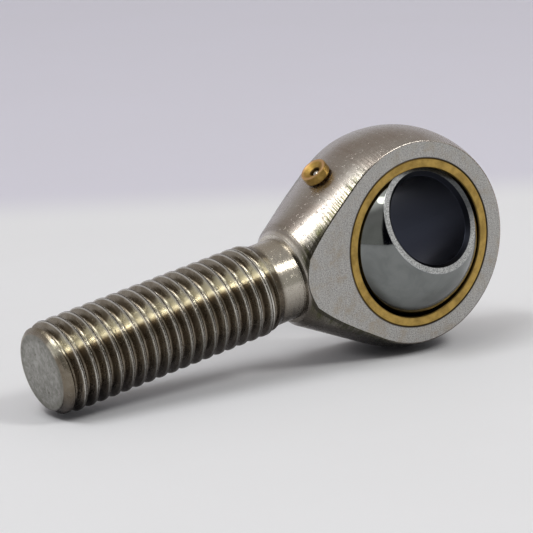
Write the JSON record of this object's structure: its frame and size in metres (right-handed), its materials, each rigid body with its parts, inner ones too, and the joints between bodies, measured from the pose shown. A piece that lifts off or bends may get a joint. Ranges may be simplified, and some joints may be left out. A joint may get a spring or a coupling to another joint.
{
  "type": "rod end bearing",
  "caption": "Male spherical rod end: threaded steel shank and round head, bronze race, bored steel ball that tilts and spins, and a small brass grease nipple.",
  "frame": {"origin": "centre of the ball, which is also the centre of the race's spherical seat and of the head's round rim", "axes": "-X along the threaded shank to its tip; Y along the head's own bore, square to its two flats; +Z on the side of the head that carries the grease nipple. At rest the ball is drawn tilted 23.6 degrees from square: its bore axis leans from -Y up towards +Z and a little towards +X. Joint value ball_tilt = 23.6 degrees squares it to the head."},
  "size_m": [0.0691, 0.0212, 0.0292],
  "materials": {
    "housing_steel": "nickel-plated turned steel, satin on the flats and brighter on the turned cone, with warm brown staining in the thread",
    "race_bronze": "plain machined bronze, lightly worn",
    "ball_chrome": "polished hard chrome with satin end faces",
    "grease": "translucent amber grease",
    "nipple_brass": "turned brass",
    "nipple_steel": "hardened steel, polished"
  },
  "bodies": {
    "housing": {"housing": "housing_steel", "race": "race_bronze", "nipple_body": "nipple_brass", "nipple_spring": "nipple_steel"},
    "race_grease": {"race_grease": "grease"},
    "ball_grease": {"ball_grease": "grease"},
    "ball": {"ball": "ball_chrome"},
    "check_ball": {"nipple_ball": "nipple_steel"}
  },
  "joints": [
    {"name": "tilt_direction", "type": "hinge", "parent": "housing", "child": "race_grease", "pos_m": [0, 0, 0], "axis": [0, 1, 0], "continuous": true},
    {"name": "ball_tilt", "type": "hinge", "parent": "race_grease", "child": "ball_grease", "pos_m": [0, 0, 0], "axis": [0.9515, 0, -0.3077], "range_deg": [-1.44, 48.56]},
    {"name": "ball_spin", "type": "hinge", "parent": "ball_grease", "child": "ball", "pos_m": [0, 0, 0], "axis": [0.123, -0.9167, 0.3803], "continuous": true},
    {"name": "check_ball_press", "type": "slide", "parent": "housing", "child": "check_ball", "axis": [0.515, 0, -0.8572], "range_m": [0, 0.0004], "stiffness_N_per_m": 10, "springref_m": -0.0006, "deforming": ["nipple_spring"]}
  ]
}
